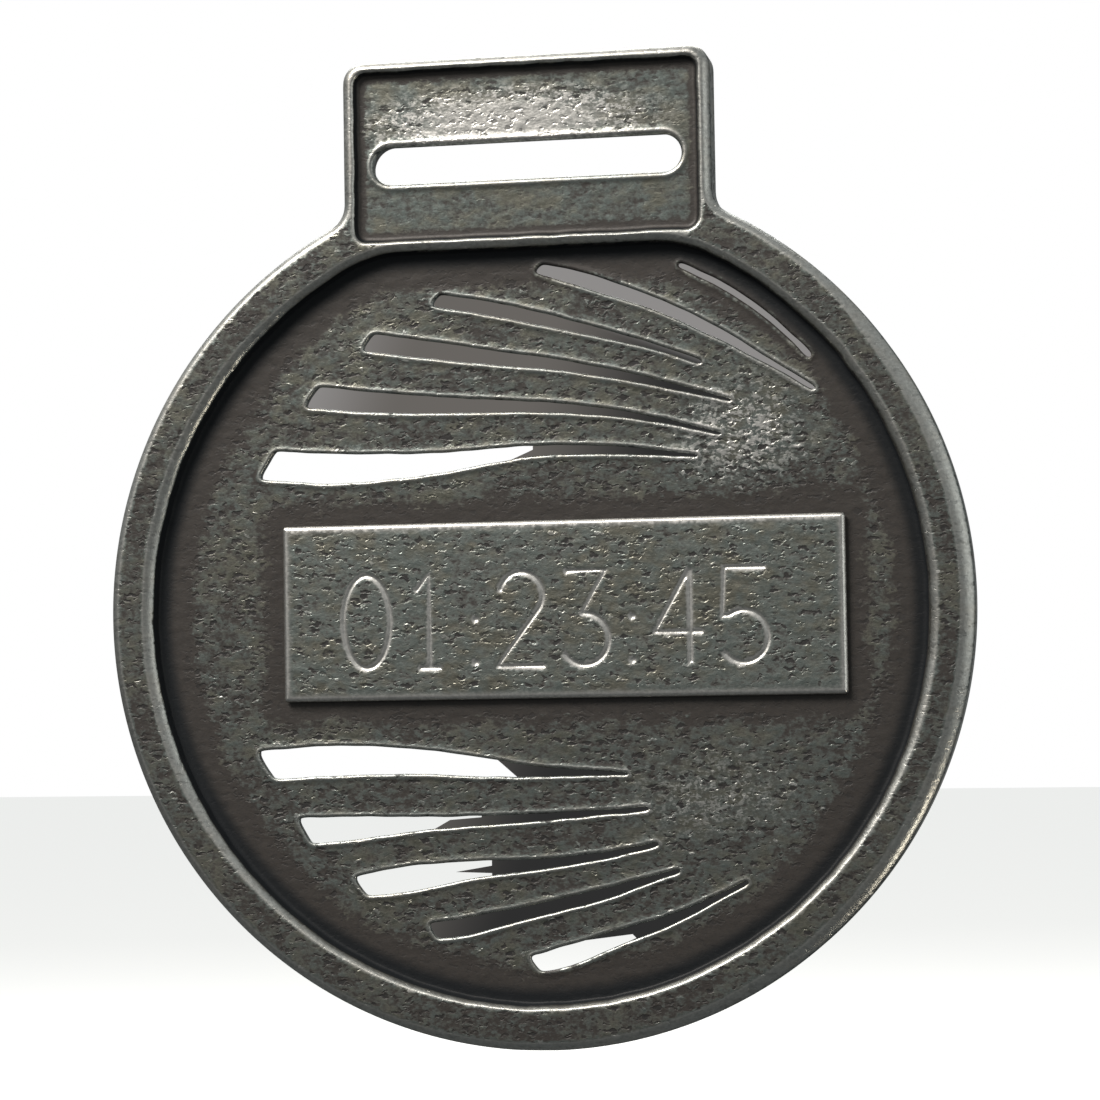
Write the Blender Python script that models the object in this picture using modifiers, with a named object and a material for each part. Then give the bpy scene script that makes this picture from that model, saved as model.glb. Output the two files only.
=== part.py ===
"""Sports finisher medal: a cast disc with a ribbon lug, openwork slots and an engraved time plate.

The medal stands upright. +Z points to the ribbon lug and the front face looks towards -Y.
The origin is on the disc's axis, in the plane of the back's shallow field.
"""

import math

import bmesh
import bpy
from mathutils import Vector

MM = 0.001
ARC_STEP = math.radians(15.0)  # between points on a small arc
BEVEL_SEGMENTS = 2
BEVEL_ANGLE = math.radians(50.0)  # edges sharper than this are bevelled
SMOOTH_ANGLE = math.radians(30.0)
WELD_DISTANCE = 0.001 * MM

# Disc
DISC_RADIUS = 35.0 * MM
THICKNESS = 3.5 * MM
FRONT_RECESS = 1.3 * MM
BACK_RECESS = 0.5 * MM
FIELD_RADIUS = 31.5 * MM
FIELD_TOP = 28.95 * MM  # the field's circle is cut flat here, under the lug
FIELD_TOP_ROUND = 10.0 * MM
EDGE_BEVEL = 0.4 * MM
DISC_STEP = math.radians(3.0)
FIELD_ROUND_STEP = math.radians(5.0)

# Lug
LUG_HALF_WIDTH = 15.0 * MM
LUG_TOP = 44.5 * MM
LUG_CORNER = 1.7 * MM
LUG_FOOT_ROUND = 2.2 * MM
LUG_RECESS = 0.7 * MM
LUG_RECESS_HALF_WIDTH = 14.05 * MM
LUG_RECESS_BOTTOM = 29.75 * MM
LUG_RECESS_TOP = 43.6 * MM
LUG_RECESS_CORNER = 1.0 * MM
RIBBON_SLOT_LENGTH = 25.2 * MM
RIBBON_SLOT_HEIGHT = 3.0 * MM
RIBBON_SLOT_Z = 36.0 * MM

# Time plate and the film that bonds it
PLATE_LENGTH = 45.6 * MM
PLATE_HEIGHT = 14.2 * MM
PLATE_THICKNESS = 0.45 * MM
PLATE_X = 2.2 * MM
PLATE_Z = -0.1 * MM
PLATE_BEVEL = 0.12 * MM
FILM_THICKNESS = 0.1 * MM
FILM_MARGIN = 0.5 * MM
FIT_GAP = 0.05 * MM

# Digits
DIGIT_HEIGHT = 7.5 * MM
DIGIT_WIDTH = 3.9 * MM
DIGIT_Z = -0.85 * MM
DIGIT_LEFT = -13.6 * MM  # centre of the first digit
DIGIT_PITCH = 5.2 * MM
COLON_PITCH = 3.75 * MM
STROKE_RADIUS = 0.26 * MM
STROKE_DEPTH = 0.18 * MM
DOT_RADIUS = 0.38 * MM
DOT_HEIGHTS = (0.05 * MM, -3.4 * MM)  # above the digits' middle
PLACEHOLDER_TIME = "01:23:45"

# Depths along Y
FRONT_Y = -(THICKNESS - BACK_RECESS)
FRONT_FIELD_Y = FRONT_Y + FRONT_RECESS
LUG_FIELD_Y = FRONT_Y + LUG_RECESS
BACK_FIELD_Y = 0.0
BACK_Y = BACK_RECESS
CUT_CLEARANCE = 1.0 * MM

# Each openwork slot runs from its wide end, near the rim, to its tip: x, z and width in millimetres.
TIP_WIDTH = 0.14
SLOT_END_ROUND = 0.35
END_LEAN = math.radians(28.0)  # of the wide end, so that it roughly follows the rim
CORNER_SHARE = 0.45  # the most that a corner's round takes of a side
RAYS = {
    "upper_1": [(-22.0, 12.1, 2.3), (-16.0, 11.65, 2.4), (-8.0, 11.85, 1.65), (0.0, 12.6, 0.85),
                (7.0, 12.45, 0.6), (13.4, 11.8, TIP_WIDTH)],
    "upper_2": [(-18.2, 17.55, 1.8), (-12.0, 16.85, 1.6), (-5.0, 16.4, 1.1), (2.0, 16.0, 0.75),
                (9.0, 15.05, 0.4), (15.3, 13.5, TIP_WIDTH)],
    "upper_3": [(-13.5, 21.85, 1.45), (-5.0, 20.5, 1.25), (3.0, 19.3, 0.8), (10.0, 17.8, 0.5),
                (16.2, 16.1, TIP_WIDTH)],
    "upper_4": [(-7.8, 25.05, 1.0), (-2.0, 23.9, 1.1), (4.0, 22.35, 0.8), (9.5, 20.8, 0.45),
                (13.9, 19.2, TIP_WIDTH)],
    "upper_5": [(0.7, 27.3, 0.8), (4.5, 26.15, 1.15), (10.0, 24.1, 0.95), (15.0, 21.6, 0.8),
                (19.0, 19.2, 0.45), (22.8, 16.8, TIP_WIDTH)],
    "lower_1": [(-22.4, -12.25, 2.3), (-16.0, -11.95, 2.4), (-10.0, -12.1, 2.0), (-4.5, -12.6, 1.5),
                (0.0, -13.0, 0.8), (7.4, -13.25, TIP_WIDTH)],
    "lower_2": [(-19.2, -17.6, 2.1), (-15.0, -17.4, 1.85), (-9.0, -17.05, 1.0), (-2.0, -16.75, 0.65),
                (4.0, -16.4, 0.4), (9.0, -16.05, TIP_WIDTH)],
    "lower_3": [(-14.6, -22.1, 1.7), (-10.5, -21.45, 1.95), (-5.0, -20.75, 1.3), (1.0, -20.3, 0.75),
                (6.0, -19.6, 0.45), (9.7, -18.8, TIP_WIDTH)],
    "lower_4": [(-8.7, -25.65, 1.3), (-6.0, -25.3, 1.4), (-0.5, -24.1, 1.0), (5.0, -22.8, 0.85),
                (9.0, -21.6, 0.45), (11.4, -20.9, TIP_WIDTH)],
    "lower_5": [(-0.4, -28.25, 1.3), (2.0, -27.7, 1.6), (6.0, -26.3, 1.2), (10.5, -24.8, 0.75),
                (14.0, -23.2, 0.4), (16.8, -21.8, TIP_WIDTH)],
}
RAY_STEPS = 3

# The eleventh slot is a thin slit that follows the rim, in millimetres and degrees.
SLIT_RADIUS = 29.7
SLIT_ANGLES = (66.0, 40.8)
SLIT_WIDTHS = (0.36, 0.46, 0.46, 0.4, 0.3)


def clear_scene():
    for old in list(bpy.data.objects):
        bpy.data.objects.remove(old, do_unlink=True)


def new_collection(name):
    collection = bpy.data.collections.new(name)
    bpy.context.scene.collection.children.link(collection)
    return collection


def metal(name, colour, roughness, metallic):
    material = bpy.data.materials.new(name)
    material.use_nodes = True
    shader = material.node_tree.nodes["Principled BSDF"]
    shader.inputs["Base Color"].default_value = (*colour, 1.0)
    shader.inputs["Roughness"].default_value = roughness
    shader.inputs["Metallic"].default_value = metallic
    return material


def arc(centre, radius, start, end, step=ARC_STEP):
    """Points from angle start to angle end, both included, about a centre (x, z)."""
    count = max(1, math.ceil(abs(end - start) / step))
    angles = [start + (end - start) * i / count for i in range(count + 1)]
    return [(centre[0] + radius * math.cos(a), centre[1] + radius * math.sin(a)) for a in angles]


def mirrored_outline(half):
    """Closes a half outline that runs down the +X side, from the top to the bottom."""
    other = [(-x, z) for x, z in reversed(half)]
    return [p for p in half if abs(p[0]) > 1e-9] + [p for p in other if abs(p[0]) > 1e-9]


def medal_outline():
    """Lug corner, lug side, rounded foot and the disc's big arc."""
    foot_x = LUG_HALF_WIDTH + LUG_FOOT_ROUND
    foot_z = math.sqrt((DISC_RADIUS + LUG_FOOT_ROUND) ** 2 - foot_x**2)
    join = math.atan2(foot_z, foot_x)
    corner = (LUG_HALF_WIDTH - LUG_CORNER, LUG_TOP - LUG_CORNER)
    half = arc(corner, LUG_CORNER, math.pi / 2, 0.0)
    half += arc((foot_x, foot_z), LUG_FOOT_ROUND, math.pi, math.pi + join)
    half += arc((0.0, 0.0), DISC_RADIUS, join, -math.pi / 2, DISC_STEP)[1:-1]
    return mirrored_outline(half)


def field_outline():
    """The field's circle, cut flat under the lug, with a large round at each end of the flat."""
    depth = FIELD_TOP - FIELD_TOP_ROUND
    centre = (math.sqrt((FIELD_RADIUS - FIELD_TOP_ROUND) ** 2 - depth**2), depth)
    join = math.atan2(centre[1], centre[0])
    half = arc(centre, FIELD_TOP_ROUND, math.pi / 2, join, FIELD_ROUND_STEP)
    half += arc((0.0, 0.0), FIELD_RADIUS, join, -math.pi / 2, DISC_STEP)[1:-1]
    return mirrored_outline(half)


def rounded_box_outline(half_width, bottom, top, radius):
    upper = arc((half_width - radius, top - radius), radius, math.pi / 2, 0.0)
    lower = arc((half_width - radius, bottom + radius), radius, 0.0, -math.pi / 2)
    return mirrored_outline(upper + lower)


def ribbon_slot_outline():
    radius = RIBBON_SLOT_HEIGHT / 2
    bottom = RIBBON_SLOT_Z - radius
    return rounded_box_outline(RIBBON_SLOT_LENGTH / 2, bottom, bottom + RIBBON_SLOT_HEIGHT, radius)


def smooth_through(stations, steps):
    """Catmull-Rom interpolation through the stations."""
    rows = [Vector(s) for s in stations]
    rows = [2 * rows[0] - rows[1]] + rows + [2 * rows[-1] - rows[-2]]
    result = []
    for a, b, c, d in zip(rows, rows[1:], rows[2:], rows[3:]):
        for i in range(steps):
            t = i / steps
            result.append(
                0.5 * (2 * b + (c - a) * t + (2 * a - 5 * b + 4 * c - d) * t**2
                       + (3 * b - a - 3 * c + d) * t**3)
            )
    return result + [rows[-2]]


def ray_outline(stations, end_leans=True):
    """A tapering slot with rounded corners. Its wide end leans to follow the rim, or is cut square."""
    line = smooth_through(stations, RAY_STEPS)
    upper, lower = [], []
    for i, station in enumerate(line):
        ahead = line[min(i + 1, len(line) - 1)]
        behind = line[max(i - 1, 0)]
        normal = Vector((behind.y - ahead.y, ahead.x - behind.x)).normalized()
        centre = station.xy
        if i == 0 and end_leans:
            lean = math.copysign(math.tan(END_LEAN), centre.y)
            normal += lean * Vector((normal.y, -normal.x))
        upper.append(centre + normal * station.z / 2)
        lower.append(centre - normal * station.z / 2)
    loop = rounded_corner(lower[1], lower[0], upper[0])
    loop += rounded_corner(lower[0], upper[0], upper[1])
    loop += upper[1:] + lower[:0:-1]
    return [(p.x * MM, p.y * MM) for p in loop]


def rounded_corner(before, corner, after):
    """Three points that round off a slot's corner, between its neighbours before and after."""
    shorter = min((before - corner).length, (after - corner).length)
    reach = min(SLOT_END_ROUND, CORNER_SHARE * shorter)
    start = corner + (before - corner).normalized() * reach
    end = corner + (after - corner).normalized() * reach
    middle = (start + 2 * corner + end) / 4  # halfway along a quadratic curve
    return [start, middle, end]


def slit_stations():
    start, end = (math.radians(a) for a in SLIT_ANGLES)
    last = len(SLIT_WIDTHS) - 1
    angles = [start + (end - start) * i / last for i in range(last + 1)]
    return [
        (SLIT_RADIUS * math.cos(a), SLIT_RADIUS * math.sin(a), w) for a, w in zip(angles, SLIT_WIDTHS)
    ]


def curve_to_mesh(curve_object, collection):
    """Replaces a curve object by its closed mesh, at the same place."""
    bpy.context.view_layer.update()
    evaluated = curve_object.evaluated_get(bpy.context.evaluated_depsgraph_get())
    mesh = bpy.data.meshes.new_from_object(evaluated)
    shape = bmesh.new()
    shape.from_mesh(mesh)
    bmesh.ops.remove_doubles(shape, verts=shape.verts, dist=WELD_DISTANCE)
    bmesh.ops.recalc_face_normals(shape, faces=shape.faces)
    shape.to_mesh(mesh)
    shape.free()
    name = curve_object.name
    place = curve_object.matrix_world.copy()
    bpy.data.objects.remove(curve_object, do_unlink=True)
    solid = bpy.data.objects.new(name, mesh)
    solid.matrix_world = place
    collection.objects.link(solid)
    return solid


def poly_spline(curve, points, closed):
    spline = curve.splines.new("POLY")
    spline.points.add(len(points) - 1)
    for point, (x, z) in zip(spline.points, points):
        point.co = (x, z, 0.0, 1.0)
    spline.use_cyclic_u = closed
    return spline


def slab(name, outline, front, back, collection):
    """A flat outline in the XZ plane, as a solid between two depths along Y."""
    curve = bpy.data.curves.new(name, "CURVE")
    curve.dimensions = "2D"
    curve.fill_mode = "BOTH"
    curve.extrude = (back - front) / 2
    poly_spline(curve, outline, closed=True)
    solid = bpy.data.objects.new(name, curve)
    solid.rotation_euler = (math.pi / 2, 0.0, 0.0)
    solid.location = (0.0, (front + back) / 2, 0.0)
    collection.objects.link(solid)
    return curve_to_mesh(solid, collection)


def as_cutter(cutter):
    cutter.hide_render = True
    cutter.display_type = "WIRE"
    return cutter


def cut(target, cutter):
    boolean = target.modifiers.new("cut_" + cutter.name, "BOOLEAN")
    boolean.operation = "DIFFERENCE"
    boolean.solver = "EXACT"
    boolean.object = cutter


def soften(target, width):
    bevel = target.modifiers.new("soft_edges", "BEVEL")
    bevel.width = width
    bevel.segments = BEVEL_SEGMENTS
    bevel.limit_method = "ANGLE"
    bevel.angle_limit = BEVEL_ANGLE


def medal_body(parts, cutters):
    body = slab("medal_body", medal_outline(), FRONT_Y, BACK_Y, parts)
    soften(body, EDGE_BEVEL)
    lug_recess = rounded_box_outline(
        LUG_RECESS_HALF_WIDTH, LUG_RECESS_BOTTOM, LUG_RECESS_TOP, LUG_RECESS_CORNER
    )
    recesses = {
        "field_recess_front": (field_outline(), FRONT_Y - CUT_CLEARANCE, FRONT_FIELD_Y),
        "lug_recess_front": (lug_recess, FRONT_Y - CUT_CLEARANCE, LUG_FIELD_Y),
        "field_recess_back": (field_outline(), BACK_FIELD_Y, BACK_Y + CUT_CLEARANCE),
        "lug_recess_back": (lug_recess, BACK_FIELD_Y, BACK_Y + CUT_CLEARANCE),
    }
    for name, (outline, near, far) in recesses.items():
        cut(body, as_cutter(slab(name, outline, near, far, cutters)))
    openings = {"ribbon_slot": ribbon_slot_outline(), "slit": ray_outline(slit_stations(), False)}
    openings.update({name: ray_outline(stations) for name, stations in RAYS.items()})
    for name, outline in openings.items():
        through = slab(name, outline, FRONT_Y - CUT_CLEARANCE, BACK_Y + CUT_CLEARANCE, cutters)
        cut(body, as_cutter(through))
    body.data.materials.append(metal("antique_pewter", (0.105, 0.1, 0.093), 0.42, 0.9))
    return body


def block(name, size, centre, collection):
    """A box of the given size."""
    shape = bmesh.new()
    bmesh.ops.create_cube(shape, size=1.0)
    bmesh.ops.scale(shape, vec=size, verts=shape.verts)
    mesh = bpy.data.meshes.new(name)
    shape.to_mesh(mesh)
    shape.free()
    solid = bpy.data.objects.new(name, mesh)
    solid.location = centre
    collection.objects.link(solid)
    return solid


def plate_adhesive(parts):
    size = (PLATE_LENGTH - 2 * FILM_MARGIN, FILM_THICKNESS, PLATE_HEIGHT - 2 * FILM_MARGIN)
    depth = FRONT_FIELD_Y - FIT_GAP - FILM_THICKNESS / 2
    film = block("plate_adhesive", size, (PLATE_X, depth, PLATE_Z), parts)
    film.data.materials.append(metal("bonding_film", (0.55, 0.5, 0.4), 0.6, 0.0))
    return film


def ellipse(centre, half_width, half_height, start, end):
    points = arc((0.0, 0.0), 1.0, math.radians(start), math.radians(end))
    return [(centre[0] + half_width * x, centre[1] + half_height * z) for x, z in points]


def digit_strokes(character):
    """Centre lines of one engraved character, in a box of DIGIT_WIDTH by DIGIT_HEIGHT."""
    w, h = DIGIT_WIDTH / 2, DIGIT_HEIGHT / 2
    bowl = 0.55 * h  # half height of the round lower part of 3 and 5
    top_bar = [(-0.85 * w, h), (0.85 * w, h)]
    shapes = {
        "0": [ellipse((0.0, 0.0), w, h, 90, 450)],
        "1": [[(-0.6 * w, 0.62 * h), (0.0, h), (0.0, -h)], [(-0.5 * w, -h), (0.5 * w, -h)]],
        "2": [ellipse((0.0, 0.5 * h), 0.9 * w, 0.5 * h, 170, -35) + [(-w, -h), (w, -h)]],
        "3": [top_bar + [(-0.15 * w, h - 2 * (h - bowl))]
              + ellipse((-0.05 * w, bowl - h), w, bowl, 85, -150)],
        "4": [[(0.45 * w, h), (-w, -0.33 * h), (w, -0.33 * h)], [(0.45 * w, h), (0.45 * w, -h)]],
        "5": [[(0.9 * w, h), (-0.8 * w, h), (-0.9 * w, -0.02 * h)]
              + ellipse((-0.05 * w, bowl - h), w, bowl, 125, -145)],
    }
    return shapes[character]


def stroke_cutter(name, stroke, centre, cutters):
    """A round-nosed cutter swept along one stroke."""
    curve = bpy.data.curves.new(name, "CURVE")
    curve.dimensions = "3D"
    curve.bevel_depth = STROKE_RADIUS
    curve.bevel_resolution = 2
    curve.use_fill_caps = True
    closed = math.dist(stroke[0], stroke[-1]) < STROKE_RADIUS
    poly_spline(curve, stroke[:-1] if closed else stroke, closed)
    cutter = bpy.data.objects.new(name, curve)
    cutter.rotation_euler = (math.pi / 2, 0.0, 0.0)
    cutter.location = centre
    cutters.objects.link(cutter)
    return as_cutter(curve_to_mesh(cutter, cutters))


def dot_cutter(name, centre, cutters):
    shape = bmesh.new()
    bmesh.ops.create_uvsphere(shape, u_segments=12, v_segments=8, radius=DOT_RADIUS)
    mesh = bpy.data.meshes.new(name)
    shape.to_mesh(mesh)
    shape.free()
    cutter = bpy.data.objects.new(name, mesh)
    cutter.location = centre
    cutter.rotation_euler = (math.pi / 2, 0.0, 0.0)
    cutters.objects.link(cutter)
    return as_cutter(cutter)


def engraving_cutters(cutters):
    """The cutters for the placeholder time, character by character."""
    face = FRONT_FIELD_Y - 2 * FIT_GAP - FILM_THICKNESS - PLATE_THICKNESS
    stroke_y = face - STROKE_RADIUS + STROKE_DEPTH
    dot_y = face - DOT_RADIUS + STROKE_DEPTH
    x = DIGIT_LEFT
    for place, character in enumerate(PLACEHOLDER_TIME):
        if place:
            pair = PLACEHOLDER_TIME[place - 1 : place + 1]
            x += COLON_PITCH if ":" in pair else DIGIT_PITCH
        name = f"stroke_{place}_"
        if character == ":":
            for number, height in enumerate(DOT_HEIGHTS):
                yield dot_cutter(f"{name}{number}", (x, dot_y, DIGIT_Z + height), cutters)
            continue
        for number, stroke in enumerate(digit_strokes(character)):
            yield stroke_cutter(f"{name}{number}", stroke, (x, stroke_y, DIGIT_Z), cutters)


def time_plate(parts, cutters):
    depth = FRONT_FIELD_Y - 2 * FIT_GAP - FILM_THICKNESS - PLATE_THICKNESS / 2
    size = (PLATE_LENGTH, PLATE_THICKNESS, PLATE_HEIGHT)
    plate = block("time_plate", size, (PLATE_X, depth, PLATE_Z), parts)
    soften(plate, PLATE_BEVEL)
    for cutter in engraving_cutters(cutters):
        cut(plate, cutter)
    plate.data.materials.append(metal("rubbed_pewter", (0.15, 0.155, 0.145), 0.36, 0.9))
    return plate


def shade(solid):
    solid.data.shade_smooth()
    solid.data.set_sharp_from_angle(angle=SMOOTH_ANGLE)


def main():
    clear_scene()
    parts = new_collection("finisher_medal")
    cutters = new_collection("cutters")
    for solid in (medal_body(parts, cutters), plate_adhesive(parts), time_plate(parts, cutters)):
        shade(solid)


main()
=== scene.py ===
"""Looks of the sports finisher medal: its fine cast surface, engraved plate, antique patina and studio.

The medal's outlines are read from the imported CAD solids, so this script holds no sizes of its own
for them. Lengths below are in millimetres, and become metres when a mesh is made.
"""

import math

import bmesh
import bpy
import numpy as np
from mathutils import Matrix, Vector, geometry, kdtree, noise

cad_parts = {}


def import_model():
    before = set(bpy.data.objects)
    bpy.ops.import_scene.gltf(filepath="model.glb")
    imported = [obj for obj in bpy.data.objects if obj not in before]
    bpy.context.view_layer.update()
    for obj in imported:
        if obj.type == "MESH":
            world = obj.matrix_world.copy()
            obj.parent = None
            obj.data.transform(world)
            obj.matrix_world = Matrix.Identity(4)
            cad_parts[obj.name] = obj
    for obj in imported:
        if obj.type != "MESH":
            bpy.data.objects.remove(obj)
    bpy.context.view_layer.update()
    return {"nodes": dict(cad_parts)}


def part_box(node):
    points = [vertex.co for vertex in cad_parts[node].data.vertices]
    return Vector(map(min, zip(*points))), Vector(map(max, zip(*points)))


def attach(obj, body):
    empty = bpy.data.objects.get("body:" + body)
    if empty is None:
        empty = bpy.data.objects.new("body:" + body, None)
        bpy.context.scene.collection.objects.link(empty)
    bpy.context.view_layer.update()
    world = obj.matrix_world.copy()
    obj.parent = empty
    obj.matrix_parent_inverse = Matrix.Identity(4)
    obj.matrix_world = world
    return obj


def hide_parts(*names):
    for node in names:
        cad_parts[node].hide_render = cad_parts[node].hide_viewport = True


MM = 0.001

# Cast surface
RING_STEP = 0.3  # between points along an outline
STRAIGHT_SIDE = 4.0  # an outline's edge longer than this is a straight side
PIN_GAP = 0.3
SLOT_STEP = 0.16
SLOT_SOFTENING = 2
FRONT_GRID = 0.28
BACK_GRID = 0.55
OUTER_ROUND = 0.62
CHAMFER_POWER = 1.4  # 1 for a round edge, 2 for a flat chamfer
# The casting's edges are uneven: shares by which they are wider or narrower round the disc,
RIGHT_CHAMFER_EXTRA = 0.8  # its outer chamfer at the right,
LEFT_EDGE_EXTRA = 0.5  # its field's edge at the left,
RIGHT_EDGE_EXTRA = 0.2  # at the right
BOTTOM_EDGE_LESS = 0.42  # and at the bottom
DISC_END = 20.0  # the height up to which they apply in full,
DISC_BLEND = 7.0  # and the height over which they fade out
FRONT_ROUNDS = (0.54, 0.2, 0.38, 0.12)  # rim edge, lug edge, foot of the wall, draft of the wall
BACK_ROUNDS = (0.22, 0.18, 0.2, 0.05)
LIP_ROUND = 0.16
SLOT_LIP = 0.3
SLOT_DRAFT = 0.3
BEAD_WIDTH = 0.3
BEAD_HEIGHT = 0.07
LIP_WOBBLE = 0.05
LIP_WAVE = 1.6
RECESS_WOBBLE = 0.07
BACK_ROUND = 0.4
WOBBLE_SEED = 4  # for noise_vector, whose pattern would otherwise depend on the time
RELIEF = 0.03
RELIEF_FADE = 0.7
FIELD_SHELTER = 3.9  # how far the dark corners reach from the recess walls
LUG_SHELTER = 1.1
WALL_SHADE_REACH = 1.8  # how far the painted shade along the foot of the recess walls reaches, standing in for the shadow the walls cast
LUG_WALL_SHADE_REACH = 0.3
RIM_SHELTER = 0.1
LUG_CALM = 0.65  # how much smoother the lug's recess is than the rest
PLATE_SHELTER = 2.8

# Time plate
PLATE_EDGE = 0.3
PLATE_BACK_EDGE = 0.1
PLATE_CORNER = 0.2
PLATE_GRID = 0.24
GROOVE_GRID = 0.085
GROOVE_SOFTENING = 2
GROOVE_DEPTH = 0.075
GROOVE_HALF_WIDTH = 0.22
GROOVE_POLISH = 0.9
BORDER_POLISH = 0.8
PLATE_BORDER = 0.8  # width of the smooth band along the plate's edges

# Where the raised metal is rubbed bright, and over the lug's recess a painted highlight on metal the ribbon rubs:
# x, z, half width, half height and strength
WEAR_AND_HIGHLIGHT_PATCHES = [
    (17.0, 13.5, 5.5, 4.5, 1.35),
    (14.0, -15.0, 8.0, 4.5, 0.85),
    # painted highlight over the lug's recess, partly wear where the ribbon rubs
    (-1.5, 39.2, 9.0, 2.1, 3.4),
]

PIT_DEPTH = 0.034
# Dark patina, rubbed metal, polished metal (linear colours), and the wear at which the patina gives way
CAST_COLOURS = ((0.033, 0.029, 0.026, 1), (0.168, 0.198, 0.19, 1), (0.6, 0.6, 0.58, 1), 2.14)
PLATE_COLOURS = ((0.04, 0.036, 0.033, 1), (0.225, 0.258, 0.245, 1), (0.62, 0.62, 0.6, 1), 1.88)

WARM_TINT = (1.12, 0.96, 0.84, 1.0)  # of the rubbed metal's colour where it is browner
# Bluish dark, like shadow: for the patina in the dents, and for the painted shade along the foot of the recess
# walls
PATINA_AND_WALL_SHADE_COLOUR = (0.006, 0.0085, 0.011, 1)

# Stage, in metres
FLOOR_LEVEL = -0.12
FLOOR_SIZE = 6.0
CARD_DEPTH = 0.0008
# x and z in mm, round the part of the openwork that shows the backdrop in shadow
CARD_OUTLINE = [
    (-21.0, 14.6), (-0.4, 14.2), (-0.4, 12.9), (-3.0, 11.8), (-3.0, 10.5), (-4.0, -11.3), (-3.7, -12.1),
    (-2.1, -13.5), (-2.1, -14.5), (-4.9, -15.5), (-5.1, -16.7), (-7.7, -16.9), (-9.5, -17.9), (-9.5, -18.8),
    (-4.3, -19.4), (-4.3, -20.6), (-7.3, -21.1), (-4.3, -21.2), (-4.3, -22.2), (-9.5, -23.9), (-11.5, -25.0),
    (-8.5, -27.3), (-1.5, -27.2), (7.1, -26.1), (7.4, -26.4), (4.7, -27.6), (17.0, -23.0), (27.0, -14.0),
    (27.0, 14.0), (22.5, 21.5), (12.0, 29.6), (-12.0, 29.2), (-21.0, 18.8),
]
SAME_DIRECTION = 0.9999
# Glowing greys on the shadow card, a painted backdrop: its lighter part, its half shade and its deep shadow
CARD_BRIGHT = (0.27, 0.26, 0.255, 1)
CARD_LIGHT = (0.14, 0.13, 0.12, 1)
CARD_DARK = (0.028, 0.028, 0.028, 1)
# Brightness of the room by height of direction, from straight down to straight up
SKY = [(-1.0, 0.2), (-0.3, 0.18), (0.0, 0.17), (0.25, 0.4), (0.6, 0.6), (1.0, 0.6)]
SKY_STRENGTH = 0.8
SOFTBOXES = [
    ("key", (-0.23, -0.28, 0.38), (0, 0, 0), (0.24, 0.2), 4.8, (1.0, 0.93, 0.86)),
    ("side", (0.45, -0.2, 0.05), (0, 0, 0), (0.3, 0.3), 0.38, (1.0, 1.0, 0.95)),
    ("low_side", (0.34, -0.18, -0.25), (0, 0, 0), (0.08, 0.12), 1.1, (1.0, 0.9, 0.74)),
    ("behind", (-0.1, 0.4, 0.5), (0, 0, 0), (0.5, 0.4), 5.0, (1.0, 0.98, 0.95)),
    ("low_behind", (0.5, 0.5, -0.12), (0, 0, 0), (0.5, 0.4), 0.4, (1.0, 1.0, 1.0)),
]
LENS = 98.18
CAMERA_PLACE = (0.0470, -0.2365, -0.0064)
CAMERA_TURN = (92.64, 0.92, 11.04)  # degrees


# Outlines read from the CAD solids


def welded(node):
    """Corner points and triangles of a CAD node, with split corners joined."""
    mesh = node.data
    mesh.calc_loop_triangles()
    corners = np.empty(len(mesh.vertices) * 3)
    mesh.vertices.foreach_get("co", corners)
    triangles = np.empty(len(mesh.loop_triangles) * 3, np.int32)
    mesh.loop_triangles.foreach_get("vertices", triangles)
    corners, index = np.unique(np.round(corners.reshape(-1, 3) / MM, 4), axis=0, return_inverse=True)
    return corners, index.ravel()[triangles].reshape(-1, 3)


def plane_loops(solid, depth, tolerance=0.002):
    """Closed outlines, as (x, z) points, of the flat faces at one depth along Y. Largest first."""
    corners, triangles = solid
    flat = (np.abs(corners[triangles, 1] - depth) < tolerance).all(axis=1)
    edges = set()
    for a, b, c in triangles[flat]:
        for edge in ((a, b), (b, c), (c, a)):
            if edge[::-1] in edges:
                edges.remove(edge[::-1])
            else:
                edges.add(edge)
    following = dict(edges)
    loops = []
    while following:
        start, step = following.popitem()
        chain = [start]
        while step != start:
            chain.append(step)
            step = following.pop(step)
        loops.append(counter_clockwise(corners[chain][:, [0, 2]]))
    return sorted(loops, key=lambda loop: -area(loop))


def area(loop):
    x, z = loop.T
    return 0.5 * float(np.sum(x * np.roll(z, -1) - np.roll(x, -1) * z))


def counter_clockwise(loop):
    return loop if area(loop) > 0 else loop[::-1]


def pinned(loop):
    """The loop with extra points near the ends of its long straight sides, so that they stay straight."""
    result = []
    for a, b in zip(loop, np.roll(loop, -1, axis=0)):
        length = np.linalg.norm(b - a)
        result.append(a)
        if length > STRAIGHT_SIDE:
            result.extend([a + (b - a) * PIN_GAP / length, b - (b - a) * PIN_GAP / length])
    return np.array(result)


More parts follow.
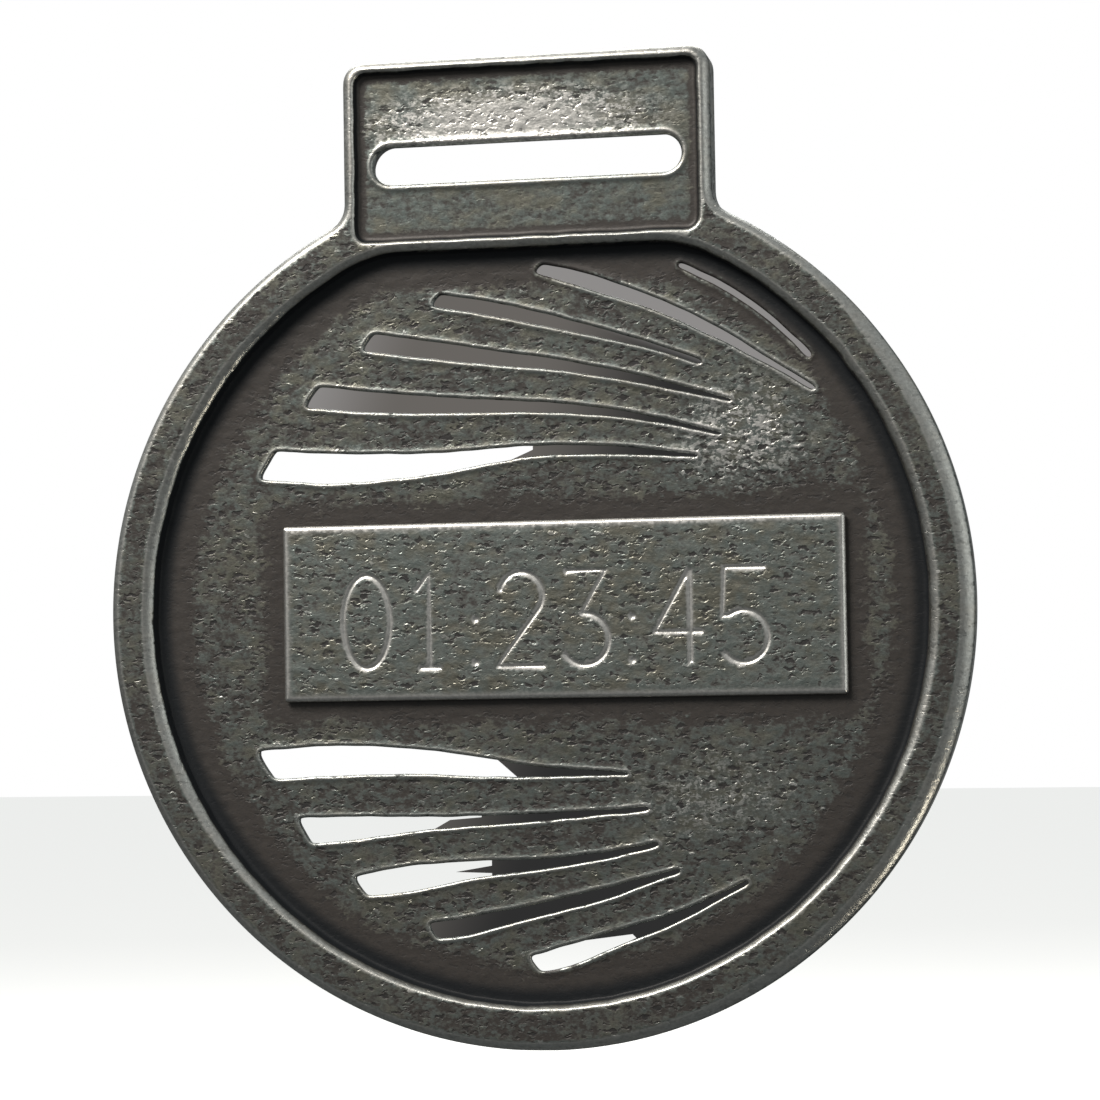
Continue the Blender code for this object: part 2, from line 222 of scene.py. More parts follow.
def smooth_loop(loop, step):
    """Evenly spaced points on a closed centripetal Catmull-Rom curve through the loop."""
    loop = pinned(loop)
    a, b = np.roll(loop, 1, axis=0), loop
    c, d = np.roll(loop, -1, axis=0), np.roll(loop, -2, axis=0)

    def gap(p, q):
        return np.sqrt(np.linalg.norm(q - p, axis=1))[:, None] + 1e-9

    t1 = gap(a, b)
    t2 = t1 + gap(b, c)
    t3 = t2 + gap(c, d)
    dense = []
    for share in np.arange(0, 1, 1 / 16):
        t = t1 + (t2 - t1) * share
        ab = a * (t1 - t) / t1 + b * t / t1
        bc = b * (t2 - t) / (t2 - t1) + c * (t - t1) / (t2 - t1)
        cd = c * (t3 - t) / (t3 - t2) + d * (t - t2) / (t3 - t2)
        abc = ab * (t2 - t) / t2 + bc * t / t2
        bcd = bc * (t3 - t) / (t3 - t1) + cd * (t - t1) / (t3 - t1)
        dense.append(abc * (t2 - t) / (t2 - t1) + bcd * (t - t1) / (t2 - t1))
    return even_loop(np.stack(dense, axis=1).reshape(-1, 2), step)


def even_loop(loop, step):
    closed = np.vstack([loop, loop[:1]])
    along = np.concatenate([[0.0], np.cumsum(np.linalg.norm(np.diff(closed, axis=0), axis=1))])
    count = max(8, round(along[-1] / step))
    places = np.arange(count) * along[-1] / count
    return np.stack([np.interp(places, along, closed[:, k]) for k in (0, 1)], axis=1)


def inward(loop):
    """Unit normals of a counter-clockwise loop, pointing inside it."""
    along = np.roll(loop, -1, axis=0) - np.roll(loop, 1, axis=0)
    along /= np.linalg.norm(along, axis=1)[:, None] + 1e-12
    return np.stack([-along[:, 1], along[:, 0]], axis=1)


def offset(loop, distance):
    """The loop moved inwards by a distance, or outwards by a negative one."""
    return loop + inward(loop) * distance


def softened(loop, passes):
    """The loop with its sharp corners rounded, each pass moving every point towards its neighbours."""
    for _ in range(passes):
        loop = (np.roll(loop, 1, axis=0) + 2 * loop + np.roll(loop, -1, axis=0)) / 4
    return loop


def wobbled(loop, size, wave):
    """The loop with the slight waviness of a cast edge."""
    shift = [noise.noise_vector(Vector((x / wave, z / wave, 0.0)))[:2] for x, z in loop]
    return loop + size * np.array(shift)


def inside(points, loop):
    """True for each point that is inside the loop."""
    result = np.zeros(len(points), bool)
    low, high = loop.min(0), loop.max(0)
    near = ((points >= low) & (points <= high)).all(axis=1)
    x, z = points[near].T
    crossings = np.zeros(near.sum(), bool)
    for (x0, z0), (x1, z1) in zip(loop, np.roll(loop, -1, axis=0)):
        if z0 != z1:
            crossings ^= ((z0 > z) != (z1 > z)) & (x < (x1 - x0) * (z - z0) / (z1 - z0) + x0)
    result[near] = crossings
    return result


def tree_of(points):
    tree = kdtree.KDTree(len(points))
    for i, (x, z) in enumerate(points):
        tree.insert((x, z, 0.0), i)
    tree.balance()
    return tree


def distances(points, loops, step=0.05):
    """Distance from each point to the nearest of the loops."""
    tree = tree_of(np.vstack([even_loop(loop, step) for loop in loops]))
    return np.array([tree.find((x, z, 0.0))[2] for x, z in points])


def grid_points(loops, step, margin, rng):
    """Jittered staggered grid inside the first loop and outside the others, clear of them all."""
    low, high = loops[0].min(0), loops[0].max(0)
    xs = np.arange(low[0], high[0], step)
    zs = np.arange(low[1], high[1], step * math.sqrt(0.75))
    x, z = np.meshgrid(xs, zs)
    x[1::2] += step / 2
    points = np.stack([x.ravel(), z.ravel()], axis=1)
    points += rng.uniform(-0.18, 0.18, points.shape) * step
    keep = inside(points, loops[0])
    for hole in loops[1:]:
        keep &= ~inside(points, hole)
    points = points[keep]
    tree = tree_of(np.vstack(loops))
    clear = np.array([tree.find((px, pz, 0.0))[2] > margin for px, pz in points], bool)
    return points[clear]


class Shell:
    """A closed surface put together from rings, strips and filled flats."""

    def __init__(self):
        self.points = []
        self.edge = []  # how much of a raised edge each point is, from 0 to 1
        self.raised = []  # relief at each point, from about -1 to 1
        self.faces = []
        self.count = 0

    def add(self, flat_points, depths, edge=0.0, raised=0.0):
        block = np.empty((len(flat_points), 3))
        block[:, [0, 2]] = flat_points
        block[:, 1] = depths
        self.points.append(block)
        self.edge.append(np.broadcast_to(edge, len(block)))
        self.raised.append(np.broadcast_to(raised, len(block)))
        self.count += len(block)
        return np.arange(self.count - len(block), self.count)

    def everything(self):
        return np.vstack(self.points)

    def strips(self, loop, profile, stretch=1.0):
        """Joined rings at each (inward distance, depth, edge) of a profile. Returns the end rings."""
        rings = [self.add(offset(loop, far * stretch), depth, edge) for far, depth, edge in profile]
        for a, b in zip(rings, rings[1:]):
            quads = np.stack([a, np.roll(a, -1), np.roll(b, -1), b], axis=1)
            self.faces.extend(quads.tolist())
        return rings[0], rings[-1]

    def fill(self, rings, inner, islands=()):
        """Triangles inside the first ring and outside the others, through the inner points."""
        points = self.everything()
        loops = [points[ring][:, [0, 2]] for ring in rings]
        index = np.concatenate([*rings, *islands, inner]).astype(int)
        edges, start = [], 0
        for ring in [*rings, *islands]:
            here = np.arange(start, start + len(ring))
            edges.extend(np.stack([here, np.roll(here, -1)], axis=1).tolist())
            start += len(ring)
        corners, _, faces, origin, _, _ = geometry.delaunay_2d_cdt(
            [Vector(p) for p in points[index][:, [0, 2]].tolist()], edges, [], 0, 1e-6
        )
        faces = np.array(faces)
        centre = np.array([c[:] for c in corners])[faces].mean(axis=1)
        keep = inside(centre, loops[0])
        for hole in loops[1:]:
            keep &= ~inside(centre, hole)
        source = np.array([index[found[0]] for found in origin])
        self.faces.extend(source[faces[keep]].tolist())

    def flat(self, rings, step, depth, way, seed):
        """Fills a flat between rings, with a relief that fades out at its borders. Way is +1 at the front."""
        points = self.everything()
        loops = [points[ring][:, [0, 2]] for ring in rings]
        spots = grid_points(loops, step, 0.55 * step, np.random.default_rng(seed))
        raised = relief(spots, seed) * smoothstep(distances(spots, loops) / RELIEF_FADE)
        self.fill(rings, self.add(spots, depth - way * RELIEF * raised, raised=raised))

    def piece(self, name):
        """The finished mesh object, its faces turned outwards."""
        mesh = bpy.data.meshes.new(name)
        mesh.from_pydata((self.everything() * MM).tolist(), [], self.faces)
        shape = bmesh.new()
        shape.from_mesh(mesh)
        bmesh.ops.recalc_face_normals(shape, faces=shape.faces)
        shape.to_mesh(mesh)
        shape.free()
        mesh.shade_smooth()
        obj = bpy.data.objects.new(name, mesh)
        bpy.context.scene.collection.objects.link(obj)
        paint(obj, "edge", np.concatenate(self.edge))
        paint(obj, "raised", np.concatenate(self.raised))
        return obj


def paint(obj, name, values):
    """Stores one number for each point of a mesh, for its material to read."""
    attribute = obj.data.attributes.new(name, "FLOAT", "POINT")
    attribute.data.foreach_set("value", np.asarray(values, np.float32))


def smoothstep(t):
    t = np.clip(t, 0.0, 1.0)
    return t * t * (3 - 2 * t)


# Profiles across an edge: (inward distance, depth, edge) rows


def quarter(count):
    """Cosine and sine pairs over a quarter turn."""
    return [(math.cos(a), math.sin(a)) for a in np.linspace(0, math.pi / 2, count)]


def soft_chamfer(count):
    """Like quarter, but flattened to a chamfer whose ends are still round."""
    return [(c ** CHAMFER_POWER, s ** CHAMFER_POWER) for c, s in quarter(count)]


def recess_profile(top_round, foot_round, draft, depth):
    """A recess edge from the raised face inwards: soft chamfer, drafted wall and rounded foot."""
    top = [(top_round * (s - 1), top_round * (1 - c), min(1.0, 3 * c)) for c, s in soft_chamfer(8)]
    foot = [(draft + foot_round * (1 - c), depth - foot_round * (1 - s), 0.0) for c, s in quarter(6)]
    return top + foot


def through_profile(lip, draft, front, back):
    """The edge of an opening: a low bead on the front flat, its lip, and the wall that widens to the back."""
    bead = [(-lip - BEAD_WIDTH, front, 0.0), (-lip - 0.4 * BEAD_WIDTH, front - BEAD_HEIGHT, 0.7)]
    near = [(-lip * (1 - s), front + lip * (1 - c) - BEAD_HEIGHT * c, 0.75 * c) for c, s in quarter(4)]
    far = [(-draft - lip * (1 - c), back - lip * (1 - s), 0.75 * s) for c, s in quarter(4)]
    middle = [(-share * draft, front + share * (back - front), 0.0) for share in (0.35, 0.65)]
    return bead + near + middle + far


def outer_profile(near_round, far_round, front, back):
    """The outside edge, from the front face round the side to the back face."""
    near = [(near_round * (1 - s), front + near_round * (1 - c), min(1.0, 3 * c)) for c, s in soft_chamfer(8)]
    far = [(far_round * (1 - c), back - far_round * (1 - s), min(1.0, 3 * s)) for c, s in quarter(6)]
    near_end, far_end = front + near_round, back - far_round
    side = [(0.0, near_end + share * (far_end - near_end), 0.35) for share in (0.2, 0.4, 0.6, 0.8)]
    return near + side + far


def at_depths(profile, start, direction):
    """Turns a profile's depths below a face into places along Y."""
    return [(far, start + direction * depth, edge) for far, depth, edge in profile]


def relief(spots, seed):
    """Height noise from about -1 to 1: dents longer along X than along Z, over a slow casting wave."""
    height = [
        0.7 * noise.noise(Vector((x / 1.3, z / 0.6, seed)))
        + 0.5 * noise.noise(Vector((x / 0.7, z / 0.38, seed + 7.3)))
        + 0.5 * noise.noise(Vector((x / 7.0, z / 6.0, seed + 3.1)))
        for x, z in spots
    ]
    return np.array(height)


# Medal body


def flat_depths(solid, count):
    """The depths along Y that hold the most flat area, from front to back."""
    corners, triangles = solid
    a, b, c = (corners[triangles[:, k]] for k in range(3))
    flat = (abs(a[:, 1] - b[:, 1]) < 0.002) & (abs(a[:, 1] - c[:, 1]) < 0.002)
    sizes = 0.5 * np.linalg.norm(np.cross(b - a, c - a), axis=1)
    depths, index = np.unique(np.round(a[flat, 1], 2), return_inverse=True)
    totals = np.bincount(index.ravel(), weights=sizes[flat])
    return sorted(float(d) for d in depths[np.argsort(totals)[-count:]])


def medal_body(frame):
    solid = welded(frame["nodes"]["medal_body"])
    front, lug_floor, front_floor, back_floor, back = flat_depths(solid, 5)
    rim_edge, field, lug = (smooth_loop(loop, RING_STEP) for loop in plane_loops(solid, front)[:3])
    field, lug = (wobbled(loop, RECESS_WOBBLE, LIP_WAVE) for loop in (field, lug))
    side_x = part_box("medal_body")[1].x / MM
    outline = even_loop(offset(rim_edge, rim_edge[:, 0].max() - side_x), RING_STEP)
    ribbon_slot = smooth_loop(plane_loops(solid, lug_floor)[1], SLOT_STEP)
    rays = [
        wobbled(softened(smooth_loop(loop, SLOT_STEP), SLOT_SOFTENING), LIP_WOBBLE, LIP_WAVE)
        for loop in plane_loops(solid, front_floor)[1:]
    ]

    shell = Shell()
    rims = shell.strips(outline, outer_profile(OUTER_ROUND, BACK_ROUND, front, back), outer_stretch(outline))
    cuts = [shell.strips(ray, through_profile(LIP_ROUND, SLOT_DRAFT, front_floor, back_floor)) for ray in rays]
    slot_cut = shell.strips(ribbon_slot, through_profile(SLOT_LIP, SLOT_DRAFT, lug_floor, back_floor))
    sides = (
        (0, front, front_floor, lug_floor, 1, FRONT_GRID, FRONT_ROUNDS),
        (1, back, back_floor, back_floor, -1, BACK_GRID, BACK_ROUNDS),
    )
    for side, face, floor, lug_side_floor, way, grid, (rim_round, lug_round, foot, draft) in sides:
        around_field = at_depths(recess_profile(rim_round, foot, draft, abs(floor - face)), face, way)
        around_lug = at_depths(recess_profile(lug_round, foot, draft, abs(lug_side_floor - face)), face, way)
        field_top, field_foot = shell.strips(field, around_field, field_stretch(field))
        lug_top, lug_foot = shell.strips(lug, around_lug)
        shell.flat([rims[side], field_top, lug_top], grid, face, way, 20 + side)
        shell.flat([field_foot, *(cut[side] for cut in cuts)], grid, floor, way, 30 + side)
        shell.flat([lug_foot, slot_cut[side]], grid, lug_side_floor, way, 40 + side)

    piece = shell.piece("medal_casting")
    points = shell.everything()
    ahead = points[:, 1] < (front_floor + back_floor) / 2
    shelter = body_shelter(points[:, [0, 2]], ahead, field, lug)
    paint(piece, "shelter", np.maximum(shelter, RIM_SHELTER * (points[:, 1] < front + RELIEF)))
    # Painted shade along the foot of the recess walls, standing in for the shadow that they cast
    paint(piece, "painted_wall_shade", near_walls(points[:, [0, 2]], (field, WALL_SHADE_REACH), (lug, LUG_WALL_SHADE_REACH)))
    rubbed_and_highlit = body_rubbed_and_highlit(points[:, [0, 2]], ahead)
    paint(piece, "rubbed_and_highlit", rubbed_and_highlit)
    paint(piece, "smooth", LUG_CALM * inside(points[:, [0, 2]], lug) * ahead * (1 - 0.7 * smoothstep(rubbed_and_highlit)))
    return piece


def round_disc(loop):
    """How far each point of a loop is to the right and to the top of the disc, and how much it is on it."""
    right, up = (loop / np.abs(loop[:, 0]).max()).T[:, :, None]
    return right, up, 1 - smoothstep((loop[:, 1:] - DISC_END) / DISC_BLEND)


def outer_stretch(loop):
    right, _, on_disc = round_disc(loop)
    return 1 + RIGHT_CHAMFER_EXTRA * smoothstep(1.1 * right) * on_disc


def field_stretch(loop):
    right, up, on_disc = round_disc(loop)
    wider = LEFT_EDGE_EXTRA * smoothstep(-right) + RIGHT_EDGE_EXTRA * smoothstep(right)
    narrower = BOTTOM_EDGE_LESS * smoothstep((-up - 0.2) / 0.7)
    return 1 + (wider - narrower) * on_disc


def body_shelter(spots, ahead, field, lug):
    """How sheltered each spot is from rubbing: 1 in the corners of the recesses, 0 in the open."""
    shelter = near_walls(spots, (field, FIELD_SHELTER), (lug, LUG_SHELTER))
    low, high = (np.array([corner.x, corner.z]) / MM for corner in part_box("time_plate"))
    away = np.linalg.norm(np.maximum(np.maximum(low - spots, spots - high), 0), axis=1)
    near_plate = 1 - smoothstep(away / PLATE_SHELTER)
    return np.where(ahead, np.maximum(shelter, near_plate), shelter)


def near_walls(spots, *recesses):
    """1 near the walls of the (outline, reach) recesses, falling to 0 at their reach and outside them."""
    near = np.zeros(len(spots))
    for loop, reach in recesses:
        fall = 1 - smoothstep((distances(spots, [loop], 0.2) / reach - 0.4) / 0.6)
        near = np.maximum(near, fall * inside(spots, loop))
    return near


def body_rubbed_and_highlit(spots, ahead):
    """How bright each spot of the front is rubbed, and where a painted highlight lies over the lug's recess."""
    rubbed_and_highlit = np.zeros(len(spots))
    for x, z, wide, high, strength in WEAR_AND_HIGHLIGHT_PATCHES:
        away = ((spots[:, 0] - x) / wide) ** 2 + ((spots[:, 1] - z) / high) ** 2
        rubbed_and_highlit += strength * np.exp(-away)
    return rubbed_and_highlit * ahead


# Time plate


def rounded_box(low, high, radius, step):
    """A counter-clockwise rectangle with rounded corners."""
    corners = ((high[0], high[1], 0), (low[0], high[1], 1), (low[0], low[1], 2), (high[0], low[1], 3))
    loop = []
    for x, z, turn in corners:
        centre = (x - math.copysign(radius, x - low[0] - 1e-9), z - math.copysign(radius, z - low[1] - 1e-9))
        for a in np.linspace(turn * math.pi / 2, (turn + 1) * math.pi / 2, 6):
            loop.append((centre[0] + radius * math.cos(a), centre[1] + radius * math.sin(a)))
    return even_loop(np.array(loop), step)


def groove_depth(away, width):
    """Depth of a softly worn groove at a distance from its edge."""
    return GROOVE_DEPTH * smoothstep(away / width)


def time_plate(frame):
    low, high = (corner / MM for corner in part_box("time_plate"))
    loops = plane_loops(welded(frame["nodes"]["time_plate"]), low.y)
    grooves = [softened(even_loop(loop, GROOVE_GRID), GROOVE_SOFTENING) for loop in loops[1:]]
    outline = rounded_box((low.x, low.z), (high.x, high.z), PLATE_CORNER, PLATE_GRID)
    shell = Shell()
    face_rim, back_rim = shell.strips(outline, outer_profile(PLATE_EDGE, PLATE_BACK_EDGE, low.y, high.y))
    rings = [shell.add(groove, low.y, 0.6) for groove in grooves]
    rim = shell.everything()[face_rim][:, [0, 2]]

    rng = np.random.default_rng(12)
    wide = grid_points([rim], PLATE_GRID, 0.5 * PLATE_GRID, rng)
    wide = wide[~within_any(wide, grooves) & (distances(wide, grooves) > 0.5 * PLATE_GRID)]
    raised = relief(wide, 50) * smoothstep(distances(wide, [rim, *grooves]) / RELIEF_FADE)
    fine = grid_points([rim], GROOVE_GRID, GROOVE_GRID, rng)
    fine = fine[within_any(fine, grooves)]
    away = distances(fine, grooves, 0.02)
    fine, away = fine[away > 0.5 * GROOVE_GRID], away[away > 0.5 * GROOVE_GRID]
    face = shell.add(wide, low.y - RELIEF * raised, raised=raised)
    floors = shell.add(fine, low.y + groove_depth(away, GROOVE_HALF_WIDTH), edge=0.5)
    shell.fill([face_rim], np.concatenate([face, floors]), rings)
    shell.fill([back_rim], [])

    piece = shell.piece("engraved_plate")
    spots = shell.everything()[:, [0, 2]]
    border = 1 - smoothstep(distances(spots, [rim]) / PLATE_BORDER)
    engraved = within_any(spots, grooves)
    paint(piece, "smooth", np.maximum(border, engraved))
    paint(piece, "rubbed_and_highlit", GROOVE_POLISH * engraved + BORDER_POLISH * border)
    return piece


def within_any(spots, loops):
    """True for spots inside an odd number of the loops, so that a loop in a loop is a hole."""
    odd = np.zeros(len(spots), bool)
    for loop in loops:
        odd ^= inside(spots, loop)
    return odd


# Materials


class Nodes:
    """A material, or a world, made of shader nodes."""

    def __init__(self, owner):
        owner.use_nodes = True
        self.tree = owner.node_tree
        self.tree.nodes.clear()

    def add(self, kind, *inputs, output=0, **settings):
        """Adds a node. Each input is a number, a colour or another node's socket, or None to leave it."""
        node = self.tree.nodes.new("ShaderNode" + kind)
        for name, value in settings.items():
            setattr(node, name, value)
        for socket, value in zip([s for s in node.inputs if s.enabled], inputs):
            self.put(socket, value)
        outputs = [s for s in node.outputs if s.enabled]
        return outputs[output] if outputs else None

    def put(self, socket, value):
        if isinstance(value, bpy.types.NodeSocket):
            self.tree.links.new(value, socket)
        elif value is not None:
            socket.default_value = value

    def math(self, operation, *inputs):
        return self.add("Math", *inputs, operation=operation)

    def total(self, *terms):
        """The sum of (socket, weight) terms."""
        result = 0.0
        for socket, weight in terms:
            result = self.math("MULTIPLY_ADD", socket, weight, result)
        return result

    def between(self, value, low, high):
        return self.add("MapRange", value, low, high, 0.0, 1.0, interpolation_type="SMOOTHSTEP")

    def mix(self, share, a, b):
        kind = "RGBA" if isinstance(a, tuple) or isinstance(b, tuple) else "FLOAT"
        return self.add("Mix", share, a, b, data_type=kind)

    def reading(self, name):
        return self.add("Attribute", attribute_name=name, output=2)

    def noise(self, place, stretch, detail, roughness):
        """Noise of features about 1 mm across, divided by the stretch."""
        scaled = self.add("Mapping", place, None, None, tuple(1 / (MM * s) for s in stretch))
        return self.add("TexNoise", scaled, 1.0, detail, roughness, noise_dimensions="3D")


def pits(n, place, size, spread, share):
    """Scattered flat dents of a (wide, deep, high) size in mm, as (depth from 0 to 1) in a share of cells."""
    cells = n.add("Mapping", n.add("VectorMath", place, spread, operation="ADD"),
                  None, None, tuple(1 / (MM * s) for s in size))
    distance = n.add("TexVoronoi", cells, 1.0, 0.0, 0.0, 2.0, 1.0)
    chance = n.add("SeparateColor", n.add("TexVoronoi", cells, 1.0, 0.0, 0.0, 2.0, 1.0, output=1))
    shape = n.add("MapRange", distance, 0.52, 0.22, 0.0, 1.0, interpolation_type="SMOOTHSTEP")
    return n.math("MULTIPLY", shape, n.math("LESS_THAN", chance, share))


def antique_metal(name, dark, rubbed, bright, cut):
    """Metal with a dark patina that is rubbed off wherever it is raised and open to wear, with painted shade along
    the recess walls and a painted highlight where the mesh marks them.
    """
    material = bpy.data.materials.new(name)
    n = Nodes(material)
    place = n.add("TexCoord", output=3)
    flakes = n.noise(place, (0.62, 0.5, 0.4), 3.0, 0.62)
    mottle = n.noise(place, (1.7, 1.5, 1.2), 2.0, 0.55)
    clouds = n.noise(place, (9.0, 9.0, 7.0), 2.0, 0.5)
    drift = n.add("TexNoise", place, 1 / (0.5 * MM), 1.0, 0.5, noise_dimensions="3D", output=1)
    spread = n.add("VectorMath", drift, (1.1 * MM, 0.3 * MM, 0.7 * MM), operation="MULTIPLY")
    large = pits(n, place, (1.1, 0.6, 0.42), spread, 0.3)
    small = pits(n, place, (0.6, 0.5, 0.26), spread, 0.35)
    chips = pits(n, place, (0.75, 0.55, 0.36), n.add("VectorMath", spread, (0.3, 0.1, 0.2), operation="ADD"), 0.05)
    dents = n.math("MAXIMUM", large, n.math("MULTIPLY", small, 0.75))
    edge, raised, shelter = (n.reading(key) for key in ("edge", "raised", "shelter"))
    rubbed_and_highlit, smooth, painted_wall_shade = (n.reading(key) for key in ("rubbed_and_highlit", "smooth", "painted_wall_shade"))
    covered = n.math("MAXIMUM", n.math("MAXIMUM", smooth, n.math("MULTIPLY", shelter, 0.65)),
                     n.math("MULTIPLY", edge, 0.6))
    open_share = n.math("SUBTRACT", 1.0, covered)
    dented, chipped = (n.math("MULTIPLY", marks, open_share) for marks in (dents, chips))
    grain = n.noise(place, (0.3, 0.3, 0.22), 2.0, 0.6)
    wear = n.total(
        (flakes, 1.6), (grain, 0.7), (mottle, 1.0), (clouds, 0.9), (raised, 0.3), (edge, 0.9), (rubbed_and_highlit, 0.25),
        (smooth, 0.25), (shelter, -0.9), (dented, -0.6), (chipped, 0.4),
    )
    worn = n.between(wear, cut - 0.4, cut + 0.4)
    height = n.total((flakes, 1.0), (grain, 0.25), (dented, -1.0), (chipped, 0.5))
    relief_left = n.math("MULTIPLY", height, n.math("MULTIPLY_ADD", covered, -0.7, 1.0))
    flecks = n.math("MAXIMUM", n.between(n.total((flakes, 0.55), (grain, 0.45)), 0.47, 0.57), smooth)
    # The rubbed brightness and the painted highlight over the lug's recess, broken into flecks
    gleam = n.math("MULTIPLY", rubbed_and_highlit, n.math("MULTIPLY_ADD", flecks, 0.8, 0.2))
    shine = n.between(n.total((worn, 0.5), (gleam, 0.6), (edge, 0.45), (chipped, 0.35)), 0.5, 1.3)
    # Darkens towards a bluish colour in the dents' patina, and in the painted shade along the foot of the recess
    # walls
    clear_of_patina_and_shade = n.math("MULTIPLY", n.math("MULTIPLY_ADD", dented, -0.5, 1.0),
                     n.math("MULTIPLY_ADD", painted_wall_shade, -0.85, 1.0))
    clear_of_patina_and_shade = n.math("MULTIPLY", clear_of_patina_and_shade, n.add("MapRange", grain, 0.3, 0.7, 0.72, 1.0))
    tint = n.between(n.total((mottle, 0.6), (clouds, 0.4)), 0.42, 0.64)
    metal = n.mix(tint, rubbed, tuple(share * value for share, value in zip(WARM_TINT, rubbed)))
    colour = n.mix(clear_of_patina_and_shade, PATINA_AND_WALL_SHADE_COLOUR, n.mix(shine, n.mix(worn, dark, metal), bright))
    bump = n.add("Bump", 1.0, PIT_DEPTH * MM, None, relief_left)
    shader = n.tree.nodes.new("ShaderNodeBsdfPrincipled")
    n.put(shader.inputs["Base Color"], colour)
    n.put(shader.inputs["Metallic"], worn)
    n.put(shader.inputs["Roughness"], n.mix(worn, 0.5, 0.4))
    # Less gloss in the painted shade along the walls
    n.put(shader.inputs["Specular IOR Level"], n.mix(painted_wall_shade, 0.35, 0.15))
    n.put(shader.inputs["Normal"], bump)
    n.add("OutputMaterial", shader.outputs[0])
    return material


def plain(name, colour, roughness, glow=0.0):
    material = bpy.data.materials.new(name)
    n = Nodes(material)
    shader = n.tree.nodes.new("ShaderNodeBsdfPrincipled")
    shader.inputs["Base Color"].default_value = colour
    shader.inputs["Roughness"].default_value = roughness
    shader.inputs["Emission Color"].default_value = colour
    shader.inputs["Emission Strength"].default_value = glow
    n.add("OutputMaterial", shader.outputs[0])
    return material


def dressed(obj, material):
    obj.data.materials.clear()
    obj.data.materials.append(material)
    return obj


# Stage


def make_floor():
    mesh = bpy.data.meshes.new("floor")
    half = FLOOR_SIZE / 2
    corners = [(-half, -half), (half, -half), (half, half), (-half, half)]
    mesh.from_pydata([(x, y, FLOOR_LEVEL) for x, y in corners], [], [(0, 1, 2, 3)])
    floor = bpy.data.objects.new("floor", mesh)
    bpy.context.scene.collection.objects.link(floor)
    floor.data.materials.append(plain("pale_floor", (0.9, 0.9, 0.89, 1), 0.8, glow=0.5))
    floor.visible_glossy = False
    floor.visible_diffuse = False


def make_card():
    """A grey card behind the slots, in place of the backdrop in the medal's shadow, for the camera's own view."""
    mesh = bpy.data.meshes.new("shadow_card")
    mesh.from_pydata([(x * MM, CARD_DEPTH, z * MM) for x, z in CARD_OUTLINE], [], [range(len(CARD_OUTLINE))])
    card = bpy.data.objects.new("shadow_card", mesh)
    bpy.context.scene.collection.objects.link(card)
    material = bpy.data.materials.new("shadow_card")
    n = Nodes(material)
    place = n.add("TexCoord", output=3)
    across = n.add("VectorMath", place, (1 / MM, 0.0, -0.35 / MM), operation="DOT_PRODUCT", output=0)
    above = n.add("VectorMath", place, (0.4 / MM, 0.0, 1 / MM), operation="DOT_PRODUCT", output=0)
    bright = n.math("MAXIMUM", n.between(across, -17.0, -27.0), n.between(above, 24.4, 26.0))
    shade = n.mix(n.between(across, -8.0, 6.0), CARD_LIGHT, CARD_DARK)
    shade = n.add("Emission", n.mix(bright, shade, CARD_BRIGHT), 1.0)
    to_camera = n.add("VectorMath", CAMERA_PLACE, n.add("NewGeometry"), operation="SUBTRACT")
    to_camera = n.add("VectorMath", to_camera, operation="NORMALIZE")
    match = n.add("VectorMath", to_camera, n.add("NewGeometry", output=4), operation="DOT_PRODUCT", output=0)
    shown = n.math("GREATER_THAN", match, SAME_DIRECTION)
    n.add("OutputMaterial", n.add("MixShader", shown, n.add("BsdfTransparent"), shade))
    card.data.materials.append(material)
    for kind in ("diffuse", "glossy", "transmission", "volume_scatter", "shadow"):
        setattr(card, "visible_" + kind, False)


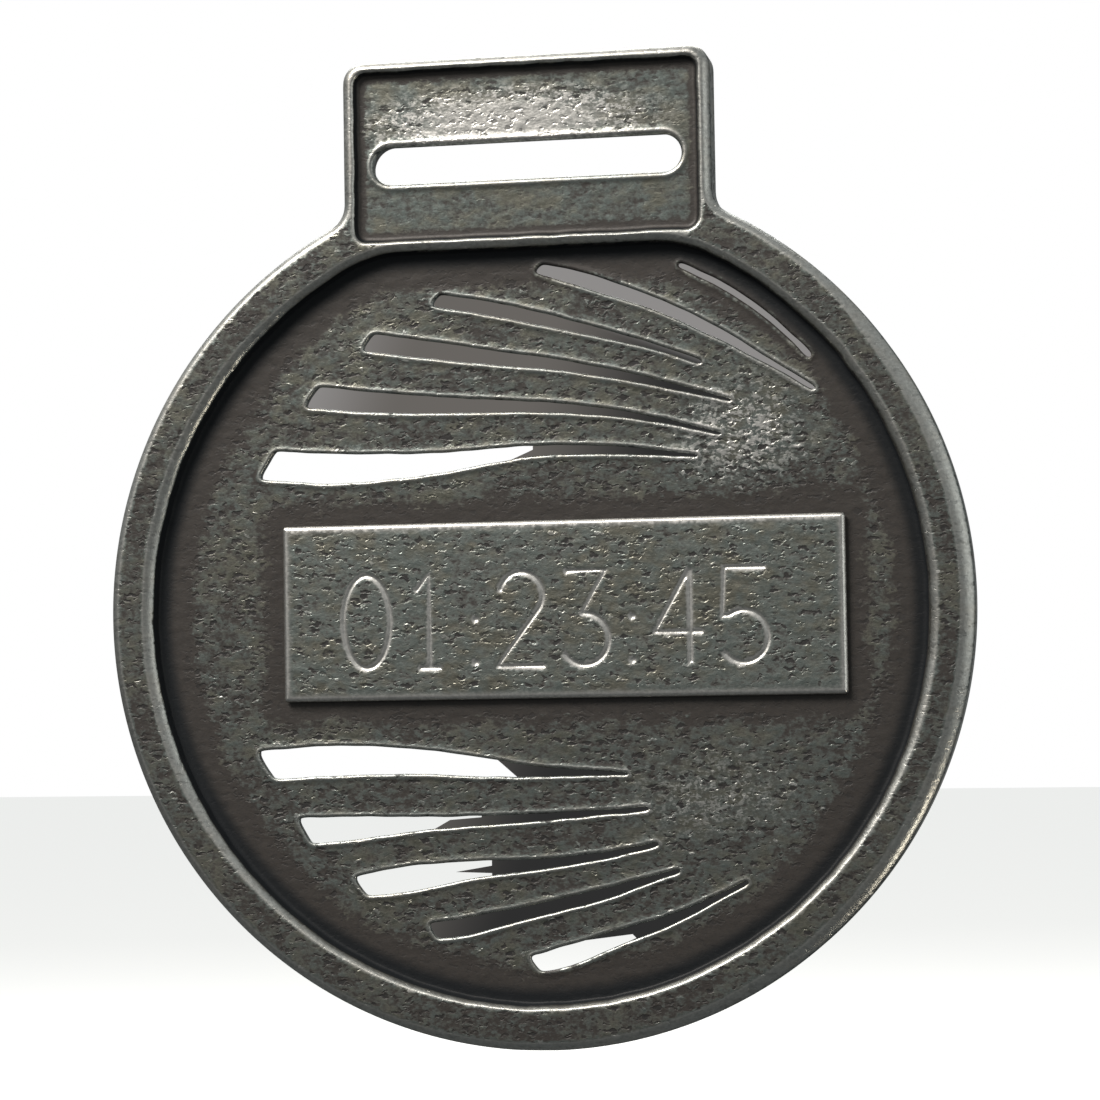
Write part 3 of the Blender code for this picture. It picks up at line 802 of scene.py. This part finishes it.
def make_world():
    """White to the camera, and to the metal a room that is bright overhead and dim below."""
    world = bpy.data.worlds.new("studio")
    bpy.context.scene.world = world
    n = Nodes(world)
    direction = n.add("TexCoord", output=0)
    height = n.add("SeparateXYZ", direction, output=2)
    ramp = n.tree.nodes.new("ShaderNodeValToRGB")
    n.put(ramp.inputs[0], n.add("MapRange", height, -1.0, 1.0, 0.0, 1.0))
    stops = ramp.color_ramp.elements
    while len(stops) < len(SKY):
        stops.new(0.5)
    for stop, (level, strength) in zip(stops, SKY):
        stop.position = (level + 1) / 2
        stop.color = (strength * 0.97, strength, strength * 0.99, 1)
    room = n.add("Background", ramp.outputs[0], SKY_STRENGTH)
    white = n.add("Background", (1, 1, 1, 1), 1.0)
    seen = n.add("LightPath", output=0)
    n.add("OutputWorld", n.add("MixShader", seen, room, white))


def make_softbox(name, place, aim, size, watts, colour):
    light = bpy.data.lights.new(name, "AREA")
    light.shape = "RECTANGLE"
    light.size, light.size_y = size
    light.energy = watts
    light.color = colour
    obj = bpy.data.objects.new(name, light)
    obj.location = place
    obj.rotation_euler = (Vector(aim) - Vector(place)).to_track_quat("-Z", "Y").to_euler()
    obj.visible_camera = False
    bpy.context.scene.collection.objects.link(obj)


def make_camera():
    camera = bpy.data.objects.new("camera", bpy.data.cameras.new("camera"))
    camera.data.lens = LENS
    camera.data.clip_start = 0.01
    camera.location = CAMERA_PLACE
    camera.rotation_euler = [math.radians(angle) for angle in CAMERA_TURN]
    bpy.context.scene.collection.objects.link(camera)
    bpy.context.scene.camera = camera


def main():
    noise.seed_set(WOBBLE_SEED)
    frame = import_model()

    body = medal_body(frame)
    plate = time_plate(frame)
    film = frame["nodes"]["plate_adhesive"]
    for obj, node in ((body, "medal_body"), (plate, "time_plate")):
        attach(obj, "root")
        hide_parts(node)
    dressed(body, antique_metal("cast_metal", *CAST_COLOURS))
    dressed(plate, antique_metal("plate_metal", *PLATE_COLOURS))
    dressed(film, plain("bonding_film", (0.05, 0.05, 0.05, 1), 0.6))

    make_floor()
    make_card()
    make_world()
    for softbox in SOFTBOXES:
        make_softbox(*softbox)
    make_camera()
    bpy.context.scene.view_settings.view_transform = "Standard"


main()
